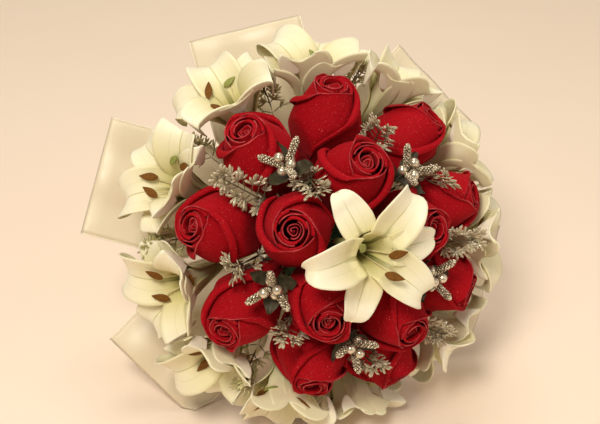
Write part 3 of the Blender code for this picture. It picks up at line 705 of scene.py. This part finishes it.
def lily(name, node, base, head, outs, walls, length, tilts, draw, over_roses=0.0):
    """Six petals on one throat: outs holds the directions of the inner and the outer ones."""
    ring = not over_roses
    forward = Vector((0, 0, 1))
    frontal = (forward - head * head.dot(forward)).normalized()
    mesh = bmesh.new()

    def petal(out, widths, start, start_radius, cup, reach=1.0):
        across = head.cross(out)
        closed = RING_CLOSED * (max(0.0, out.dot(frontal)) * 0.8 + 0.2) if ring else 0.0
        own_tilts = [
            (share, tilt * (1 - closed * (1 - soft_step(share, 0.5, 0.95)))) for share, tilt in tilts]
        line = petal_line(length * reach * draw.uniform(0.96, 1.03), own_tilts, start, start_radius)
        lean = draw.uniform(-0.16, 0.16)
        ripple = draw.uniform(0, 2 * math.pi)

        def place(u, v):
            edge = 2 * u - 1
            along, radius, tilt = line(v)
            width = sum(between(widths, v + step) for step in (-0.03, 0, 0.03)) / 3 * MM
            width *= 1.0 if ring else FRONT_LILY_NARROWER
            fold = abs(edge) - 0.14 * math.sin(math.pi * abs(edge))
            lift = cup * (1 - 0.35 * v) * width * fold + lean * width * edge * v
            lift += 0.9 * MM * math.sin(9 * v + ripple + edge) * edge * edge * v
            middle = base + head * (along + math.sin(tilt) * lift)
            middle += out * (radius - math.cos(tilt) * lift)
            rib = base + head * along + out * radius
            if radius > 11 * MM and rib.length < over_roses:
                middle += rib.normalized() * (over_roses - rib.length)
            return fit(middle + across * width * edge, walls, LILY_MARGIN)
        bent_grid(mesh, 16, 36, place)

    inner_cup, outer_cup = RING_CUPS if ring else FRONT_CUPS
    for inner, outer in zip(*outs):
        petal(inner, INNER_WIDTHS, 3 * MM, 2.4 * MM, inner_cup)
        petal(outer, OUTER_WIDTHS, -3 * MM, 3.0 * MM, outer_cup, 1.0 if ring else FRONT_OUTER_REACH)
    bmesh.ops.reverse_faces(mesh, faces=mesh.faces)
    made = piece(mesh, name, [petal_face, petal_back], "lily_foam", node)
    thicken(made, LILY_THICKNESS, -1, material_offset=1)


lily_draw = random.Random(5)
lily_heads = []
for index, (around, away, nod) in enumerate(RING_LILIES):
    lily_axis = direction(around, away)
    lily_base = lily_axis * LILY_FOOT
    lily_head = Matrix.Rotation(math.radians(nod), 3, lily_axis.cross(Vector((0, 0, 1)))) @ lily_axis
    lily_side, lily_other = cross_axes(lily_head)
    lily_outs = ([], [])
    for step in range(6):
        angle = math.radians(LILY_ROLLS[index] + 60 * step) + lily_draw.uniform(-0.06, 0.06)
        lily_outs[step % 2].append(turned_by(angle, lily_side, lily_other))
    lily_walls = walls_of("lily", lily_axis, LILY_ROOM)
    numbered = f"lily_{index + 1:02d}"
    lily(
        "petals_of_" + numbered, numbered, lily_base, lily_head, lily_outs,
        lily_walls, LILY_PETAL, LILY_TILTS, lily_draw)
    lily_heads.append(("stamens_of_" + numbered, lily_base, lily_head, lily_walls))
front_axis = direction(*FRONT_LILY)
front_base = front_axis * FRONT_LILY_FOOT
front_head = Matrix.Rotation(
    math.radians(FRONT_LILY_NOD), 3, front_axis.cross(picture_right).normalized()) @ front_axis
front_outs = [
    [picture_direction(front_head, degrees) for degrees in row]
    for row in (FRONT_INNER_PETALS, FRONT_OUTER_PETALS)]
lily(
    "petals_of_front_lily", "lily_front", front_base, front_head, front_outs, [],
    FRONT_LILY_PETAL, FRONT_LILY_TILTS, lily_draw, OVER_ROSES)
lily_heads.append(("stamens_of_front_lily", front_base, front_head, []))

# Two or three stamens and a pistil stand in every lily: a pale thread each, with a flat dark
# brown anther like a small leaf at its tip, and a green stigma of the same kind.
THREAD_START = 14 * MM
THREAD_TIP = 56 * MM
THREAD_SPREAD = 15 * MM
# Directions of the threads of the ring lilies and of the front lily across the picture, in
# degrees, with the pistil's direction last
RING_THREADS = (150, 215, 30, 95)
FRONT_THREADS = (-12, -62, 148)
ANTHER = Vector((6.4, 2.7, 0.9)) * MM
STIGMA = Vector((5.2, 2.7, 1.0)) * MM

anther_brown = Finish("anther_brown", roughness=0.75, specular_ior_level=0.2)
dusty = anther_brown.grain(600)
anther_brown.mottle(dusty, (0.075, 0.024, 0.003, 1), (0.24, 0.095, 0.008, 1))
anther_brown.relief(dusty, 0.3 * MM)
thread_pale = Finish("stamen_thread", roughness=0.5)
thread_pale.mottle(thread_pale.grain(300), (0.52, 0.45, 0.20, 1), (0.74, 0.62, 0.38, 1))
stigma_green = Finish("stigma_green", roughness=0.55)
stigma_green.mottle(stigma_green.grain(350), (0.13, 0.16, 0.02, 1), (0.34, 0.34, 0.08, 1))


def tube(mesh, start, end, sag, radius, sides=6, rows=8):
    """A thin thread from start to end, bowed out by sag, with closed ends."""
    course = (end - start).normalized()
    side, other = cross_axes(course)

    def place(u, v):
        thick = radius * min(1.0, 12 * v, 12 * (1 - v))
        angle = 2 * math.pi * u
        middle = start.lerp(end, v) + sag * 4 * v * (1 - v)
        return middle + side * thick * math.cos(angle) + other * thick * math.sin(angle)
    faces = bent_grid(mesh, sides, rows, place)
    verts = {vert for face in faces for vert in face.verts}
    bmesh.ops.remove_doubles(mesh, verts=list(verts), dist=FINE_MERGE)


def pod(mesh, middle, along, face, half_sizes, finish_index):
    """A flat leaf-shaped body, rounded behind and pointed in front, with a groove down its face."""
    ball = bmesh.ops.create_icosphere(mesh, subdivisions=3, radius=1)
    across = face.cross(along).normalized()
    face = along.cross(across).normalized()
    for vert in ball["verts"]:
        x, y, z = vert.co
        taper = (1 - 0.4 * x * x) * (1 - 0.38 * x)
        groove = 1 - 0.35 * math.exp(-(y / 0.25) ** 2)
        vert.co = (middle + along * x * half_sizes.x + across * y * taper * half_sizes.y
                   + face * z * groove * half_sizes.z)
    paint(faces_of(ball["verts"]), finish_index)


stamen_draw = random.Random(8)
for name, base, head, walls in lily_heads:
    stamen_mesh = bmesh.new()
    for degrees in RING_THREADS if walls else FRONT_THREADS:
        pistil = degrees in (RING_THREADS[-1], FRONT_THREADS[-1])
        out = picture_direction(head, degrees + stamen_draw.uniform(-16, 16))
        start = fit(base + head * THREAD_START + out * 1.2 * MM, walls, 1.5 * MM, 4 * MM)
        reach = THREAD_TIP + stamen_draw.uniform(-5, 3) * MM
        spread = THREAD_SPREAD * stamen_draw.uniform(0.8, 1.1)
        tip = fit(base + head * reach + out * spread, walls, 2.5 * MM, 5 * MM)
        tube(stamen_mesh, start, tip, -out * 2.5 * MM, 0.55 * MM)
        swing = math.radians(stamen_draw.uniform(-70, 70))
        along = head.cross(out) * math.sin(swing) + (out * 0.8 + head * 0.6) * math.cos(swing)
        pod(stamen_mesh, tip, along.normalized(), head, STIGMA if pistil else ANTHER, 2 if pistil else 1)
    piece(stamen_mesh, name, [thread_pale, anther_brown, stigma_green], "lily_foam")

# Every flower stands on a wire stem wrapped in green tape, pushed into the foam.
STEM_FOOT = 25 * MM
STEM_RADIUS = 1.5 * MM
STEM_TOPS = {"rose": 54 * MM, "lily": 72 * MM, "front_lily": 78 * MM}
stem_tape = Finish("stem_tape", roughness=0.8)
tape = stem_tape.mottle(stem_tape.grain(250), (0.05, 0.09, 0.02, 1), (0.12, 0.17, 0.05, 1))
stem_tape.relief(tape, 0.2 * MM)
stem_mesh = bmesh.new()
for kind, axis in flowers:
    tube(stem_mesh, axis * STEM_FOOT, axis * STEM_TOPS[kind], Vector(), STEM_RADIUS, 10, 4)
piece(stem_mesh, "flower_stems", [stem_tape], "lily_foam")

# Sprigs of moulded cedar stand between the flowers: a thin dark rib with pairs of twigs, each
# ending in a small hand of blunt fingers coated with pale gold glitter. Those among the lilies
# have fine greenish needles.
SPRIGS = (
    ((103, 71), (106, 66), 121), ((56, 44), (62, 36), 120), ((148, 34), (147, 44), 119),
    ((191, 44), (189, 35), 119), ((237, 45), (233, 37), 119), ((278, 57), (280, 49), 119),
    ((24, 46), (16, 40), 120), ((137, 74), (142, 70), 121), ((175, 76), (177, 72), 121),
    ((345, 49), (349, 57), 119), ((307, 60), (312, 66), 120), ((234, 73), (234, 69), 121),
    ((69, 75), (67, 71), 121), ((112, 25), (120, 15), 120),
)
SPRIG_NECK = 92 * MM
SPRIG_TWIGS = 6
TWIG_LENGTH = 7.5 * MM
NEEDLED_TWIG_SHARE = 0.5
# More pairs of twigs stand round the stem, lower down between the flowers. A sprig with needles
# has only the highest pair, to keep clear of the petals beside it.
LOW_TWIGS = 5
NEEDLED_LOW_TWIG = 4
LOW_TWIG_FOOT = 62 * MM
LOW_TWIG_STEP = 7 * MM
# Half lengths and half widths of a finger and of a needle
FINGER = Vector((3.5, 1.1)) * MM
NEEDLE = Vector((3.9, 0.7)) * MM
NEEDLES_FROM = 69
FINGER_SPREADS = (-64, -34, 0, 34, 64)
NEEDLE_SPREADS = (-82, -66, -50, -36, -22, -8, 6, 20, 34, 48, 64, 80)
# How much further needles stand out of their hand's plane than fingers do
NEEDLE_TUFT = 2.6

glitter = Finish("glitter_sheet", metallic=0.3)
flakes = glitter.node("ShaderNodeTexVoronoi", {}, {"Vector": glitter.place(), "Scale": 1700}, "Color")
flake = glitter.node("ShaderNodeSeparateColor", {}, {0: flakes}, 0)
gold = glitter.blend(glitter.grain(120), (0.30, 0.22, 0.10, 1), (0.62, 0.53, 0.34, 1))
glitter.mottle(glitter.rise(flake, 0.6, 1.0), gold, (0.93, 0.88, 0.72, 1))
glitter.varies("Roughness", 0.55 - flake * 0.35)
glitter.relief(flake, 0.2 * MM)
green_gold = Finish("green_gold_needles", metallic=0.15)
needle_tone = green_gold.grain(160)
green_gold.mottle(needle_tone, (0.30, 0.27, 0.09, 1), (0.86, 0.80, 0.46, 1))
green_gold.varies("Roughness", 0.6 - needle_tone * 0.25)
rib_brown = Finish("sprig_rib", roughness=0.6)
rib_brown.mottle(rib_brown.grain(200), (0.03, 0.022, 0.010, 1), (0.16, 0.12, 0.05, 1))


def finger(mesh, start, along, face, half_sizes):
    """One small blunt finger, thickest near its tip."""
    cone = bmesh.ops.create_cone(
        mesh, cap_ends=True, cap_tris=True, segments=6, radius1=0.55, radius2=0.7, depth=2)
    across = face.cross(along).normalized()
    face = along.cross(across).normalized()
    for vert in cone["verts"]:
        x, y, z = vert.co
        tip = 0.55 if z > 0 and abs(y) > 0.3 else 1.0
        vert.co = (start + along * (z * tip + 1) * half_sizes.x + across * y * 1.45 * half_sizes.y
                   + face * x * 0.6 * half_sizes.y)
    paint(faces_of(cone["verts"]), 1)


sprig_draw = random.Random(11)
for index, (stem_place, tip_place, tip_reach) in enumerate(SPRIGS):
    sprig_axis = direction(*stem_place)
    start = sprig_axis * SPRIG_NECK
    tip = direction(*tip_place) * tip_reach * MM
    course = (tip - start).normalized()
    face = (start + tip).normalized()
    across = course.cross(face).normalized()
    face = across.cross(course).normalized()
    needled = stem_place[1] > NEEDLES_FROM
    spreads, half_sizes = (NEEDLE_SPREADS, NEEDLE) if needled else (FINGER_SPREADS, FINGER)
    sprig_mesh = bmesh.new()
    tube(sprig_mesh, sprig_axis * STEM_FOOT, start + course * 2 * MM, Vector(), 0.8 * MM, 6, 4)
    bow = face * 3 * MM
    tube(sprig_mesh, start, tip, bow, 0.5 * MM)

    def hand_of_fingers(root, out, plane):
        """Fingers spread from the end of a twig, each a little out of its plane."""
        sideways = plane.cross(out).normalized()
        for spread in spreads:
            turned = math.radians(spread + sprig_draw.uniform(-9, 9))
            along = turned_by(turned, out, sideways)
            lift = sprig_draw.uniform(-0.25, 0.35) * (NEEDLE_TUFT if needled else 1.0)
            along = (along + plane * lift).normalized()
            size = half_sizes * sprig_draw.uniform(0.8, 1.1) * (1.15 - 0.3 * abs(spread) / 64)
            finger(sprig_mesh, root, along, plane, size)

    for twig in range(SPRIG_TWIGS):
        share = 0.16 + 0.74 * twig / (SPRIG_TWIGS - 1)
        root = start.lerp(tip, share) + bow * 4 * share * (1 - share)
        for hand in (-1, 1):
            spread = math.radians(60 - 22 * share + sprig_draw.uniform(-14, 14))
            out = turned_by(spread, course, across * hand)
            out = (out + face * sprig_draw.uniform(-0.25, 0.65)).normalized()
            plane = (face + across * sprig_draw.uniform(-0.6, 0.6)).normalized()
            long = TWIG_LENGTH * (1.15 - 0.5 * share) * sprig_draw.uniform(0.8, 1.2)
            long *= NEEDLED_TWIG_SHARE if needled else 1.0
            tube(sprig_mesh, root, root + out * long, face * 0.6 * MM, 0.4 * MM, 4, 3)
            hand_of_fingers(root + out * long * 0.9, out, plane)
    hand_of_fingers(tip - course * 3 * MM, course, face)
    for twig in range(NEEDLED_LOW_TWIG if needled else 0, LOW_TWIGS):
        root = sprig_axis * (LOW_TWIG_FOOT + LOW_TWIG_STEP * twig)
        for hand in (-1, 1):
            turned = math.radians(137 * twig + 180 * (hand > 0))
            out = turned_by(turned, across, course.cross(across))
            out = (out + sprig_axis * 0.5).normalized()
            tube(sprig_mesh, root, root + out * TWIG_LENGTH, Vector(), 0.4 * MM, 4, 3)
            hand_of_fingers(root + out * TWIG_LENGTH * 0.9, out, sprig_axis)
    piece(
        sprig_mesh, f"glitter_fern_{index + 1:02d}", [rib_brown, green_gold if needled else glitter],
        "glitter_sheet", f"sprig_{index + 1:02d}")

# Five picks of beads stand between the roses: pearls and rods crusted with tiny glass balls
# are wired round a stem over three dark leaves.
PICKS = ((121, 31), (210, 31), (32, 34), (271, 43), (327, 41))
PICK_NECK = 98 * MM
# Millimetres
LEAF_LENGTH = 17
LEAF_HALF_WIDTH = 5.5
PEARL_RADIUS = 3.3 * MM
BALL_RADIUS = 0.95 * MM
ROD_BALLS = 76
ROD_LENGTH = 18 * MM
ROD_RADIUS = 1.9 * MM

pearl = Finish("pearl", roughness=0.22, metallic=0.75, coat_weight=0.5, coat_roughness=0.1)
pearl.mottle(pearl.grain(90), (0.56, 0.46, 0.32, 1), (0.80, 0.72, 0.56, 1))
crust = Finish("glass_crust", metallic=0.6)
grit = crust.grain(600)
crust.mottle(crust.rise(grit, 0.38, 0.62), (0.22, 0.15, 0.08, 1), (0.80, 0.72, 0.55, 1))
crust.varies("Roughness", grit * 0.3 + 0.08)
dark_leaf = Finish("dark_leaf", roughness=0.55)
dark_leaf.mottle(dark_leaf.grain(120), (0.018, 0.014, 0.006, 1), (0.08, 0.066, 0.03, 1))
dark_leaf.relief(dark_leaf.grain(500), 0.3 * MM)

for index, pick_place in enumerate(PICKS):
    axis = direction(*pick_place)
    side, other = cross_axes(axis)
    neck = axis * PICK_NECK
    pick_mesh = bmesh.new()
    tube(pick_mesh, axis * STEM_FOOT, neck + axis * 12 * MM, Vector(), 0.9 * MM, 6, 4)
    paint(pick_mesh.faces, 2)
    for bead in range(4):
        out = turned_by(math.pi / 2 * bead + index, side, other)
        ball = bmesh.ops.create_icosphere(pick_mesh, subdivisions=3, radius=PEARL_RADIUS)
        middle = neck + axis * (8 + 6 * (bead % 2)) * MM + out * 4.6 * MM
        bmesh.ops.translate(pick_mesh, vec=middle, verts=ball["verts"])
    for rod in range(3):
        out = turned_by(2 * math.pi / 3 * rod + 0.6 * index, side, other)
        start = neck + axis * 8 * MM + out * 2 * MM
        course = (axis * 0.9 + out).normalized()
        end = start + course * ROD_LENGTH
        rod_side, rod_other = cross_axes(course)
        for ball_index in range(ROD_BALLS):
            share = ball_index / (ROD_BALLS - 1)
            turn = 2.4 * ball_index
            thick = ROD_RADIUS * min(1.0, 0.35 + 5 * share, 0.3 + 5 * (1 - share))
            where = start.lerp(end, share) + turned_by(turn, rod_side, rod_other) * thick
            ball = bmesh.ops.create_icosphere(pick_mesh, subdivisions=1, radius=BALL_RADIUS)
            bmesh.ops.translate(pick_mesh, vec=where, verts=ball["verts"])
            paint(faces_of(ball["verts"]), 1)
    for leaf in range(3):
        out = turned_by(2 * math.pi / 3 * leaf + 0.6 * index + 1, side, other)
        across = axis.cross(out)

        def leaf_place(u, v):
            """A small leaf, crinkled and folded along its rib."""
            edge = 2 * u - 1
            width = LEAF_HALF_WIDTH * MM * math.sin(math.pi * (0.05 + 0.93 * v)) ** 0.8
            crinkle = 0.7 * math.sin(17 * v + 3 * edge) * abs(edge)
            point = neck + axis * (12 * v - 3 + 2 * abs(edge) + crinkle) * MM + out * LEAF_LENGTH * MM * v
            return point + across * edge * width
        paint(bent_grid(pick_mesh, 8, 16, leaf_place), 2)
    piece(
        pick_mesh, f"beads_and_leaves_{index + 1}", [pearl, crust, dark_leaf], "pearl_beads",
        f"bead_pick_{index + 1}")

# The collar is six wide loops of ivory satin, gathered at the handle. Each is a band folded
# double, with a soft fold at its outer end and a thin rolled hem down each side. Five of them
# stand out in slow waves. The bottom one is folded back under the bouquet, which lies on it.
LOOP_ANGLES = (97, 157, 217, 277, 337, 37)
TUCKED_LOOP = 277
LOOP_START = 11.2 * MM
LOOP_REACH = 149.6 * MM
LOOP_HALF_WIDTH = 41.6 * MM
# The collar's front lies further back at the neck, and comes forward over this length
LOOP_INNER_FRONT = -45 * MM
LOOP_RISE = 60 * MM
LOOP_SET_BACK = 3.2 * MM
TUCK_REACH = 110.4 * MM
TUCK_RADIUS = 4 * MM
TUCK_ANGLE = math.pi / 2 + FACE_LIFT
SATIN_THICKNESS = 0.45 * MM
HEM_RADIUS = 0.55 * MM
# Slow waves of the open part of a loop, and the finer gathers and pleats that fade away from
# the neck. A loop's own angle starts its waves, so that no two open loops are alike.
SLOW_WAVE = 3.4 * MM
GATHER_WAVE = 2.6 * MM
PLEAT = 0.8 * MM
loop_satin = satin_finish("loop_satin", 500, 9)
# The hems have a paler satin than the bands: painted light on the rolled edges.
hem_satin = satin_finish("hem_satin", 4, 300, (0.86, 0.76, 0.57, 1), (0.90, 0.81, 0.63, 1))

for index, degrees in enumerate(LOOP_ANGLES):
    out = Vector((math.cos(math.radians(degrees)), math.sin(math.radians(degrees)), 0))
    across = Vector((-out.y, out.x, 0))
    tucked = degrees == TUCKED_LOOP

    def loop_place(u, v):
        """The band runs out along the front layer, round the fold, and back behind."""
        edge = 2 * u - 1
        run = 1 - abs(2 * v - 1)
        reach = LOOP_START + (LOOP_REACH - LOOP_START) * run
        width = min(LOOP_HALF_WIDTH, 0.55 * reach - 0.8 * MM)
        rise = min(1.0, (reach - LOOP_START) / LOOP_RISE)
        front = LOOP_INNER_FRONT + (COLLAR_FRONT - LOOP_INNER_FRONT) * rise * rise * (3 - 2 * rise)
        share = (reach - LOOP_START) / (LOOP_REACH - LOOP_START)
        apart = (1.2 + 4.2 * share) * MM * (1 - 0.75 * edge * edge) * min(1.0, (1 - run) * 14) ** 0.5
        sign = 0.5 if v > 0.5 else -0.5
        loose = share * (1 - 0.6 * share) * (not tucked)
        wave = SLOW_WAVE * math.sin(6.5 * edge + 1.5 * share + degrees) * loose
        gathered = min(1.0, 6 * share) * (1 - share) ** 1.4
        wave += GATHER_WAVE * math.sin(15 * edge - 2 * share + 2 * degrees) * gathered
        pleat = PLEAT * math.cos(11 * edge) * (1 - share) * min(1.0, share * 8)
        turned, radius = 0.0, reach
        if tucked and reach > TUCK_REACH:
            turned = min((reach - TUCK_REACH) / TUCK_RADIUS, TUCK_ANGLE)
            beyond = max(0.0, reach - TUCK_REACH - TUCK_RADIUS * TUCK_ANGLE)
            radius = TUCK_REACH + math.sin(turned) * TUCK_RADIUS + math.cos(turned) * beyond
            front -= (1 - math.cos(turned)) * TUCK_RADIUS + math.sin(turned) * beyond
        normal = out * math.sin(turned) + Vector((0, 0, 1)) * math.cos(turned)
        point = out * radius + Vector((0, 0, front - LOOP_SET_BACK + wave)) + across * edge * width
        point += normal * (apart * sign + pleat * sign)
        up = FLOOR_WALL[0]
        facing_up = 2 * sign * normal.dot(up)
        settled = turned / TUCK_ANGLE
        height = up.dot(point) + FLOOR_WALL[1]
        resting = 0.5 * MM + apart * (1 + facing_up) / 2
        point += up * (resting - height) * settled
        height = up.dot(point) + FLOOR_WALL[1]
        lowest = (1.6 if facing_up > 0 else 0.5) * MM
        return point + up * max(0.0, lowest - height)

    loop_mesh = bmesh.new()
    bent_grid(loop_mesh, 24, 120, loop_place)
    loop_area = sum(face.calc_area() for face in loop_mesh.faces)
    loop = piece(loop_mesh, f"satin_band_{index + 1}", [loop_satin], "ivory_satin", f"satin_loop_{index + 1}")
    thicken(loop, SATIN_THICKNESS, 0)

    hem_mesh = bmesh.new()
    for edge_side in (0, 1):
        def hem_place(u, v):
            """A thin roll along one side of the band, all the way round its fold."""
            point = loop_place(edge_side, v)
            inwards = (loop_place(0.5, v) - point).normalized()
            before = loop_place(edge_side, max(0.0, v - 0.01))
            after = loop_place(edge_side, min(1.0, v + 0.01))
            upright = inwards.cross((after - before).normalized()).normalized()
            return point + turned_by(2 * math.pi * u, inwards, upright) * HEM_RADIUS
        bent_grid(hem_mesh, 6, 120, hem_place)
    bmesh.ops.remove_doubles(hem_mesh, verts=hem_mesh.verts, dist=FINE_MERGE)
    bmesh.ops.holes_fill(hem_mesh, edges=[edge for edge in hem_mesh.edges if edge.is_boundary])
    bmesh.ops.recalc_face_normals(hem_mesh, faces=hem_mesh.faces)
    hem = piece(hem_mesh, f"satin_hem_{index + 1}", [hem_satin], "ivory_satin")
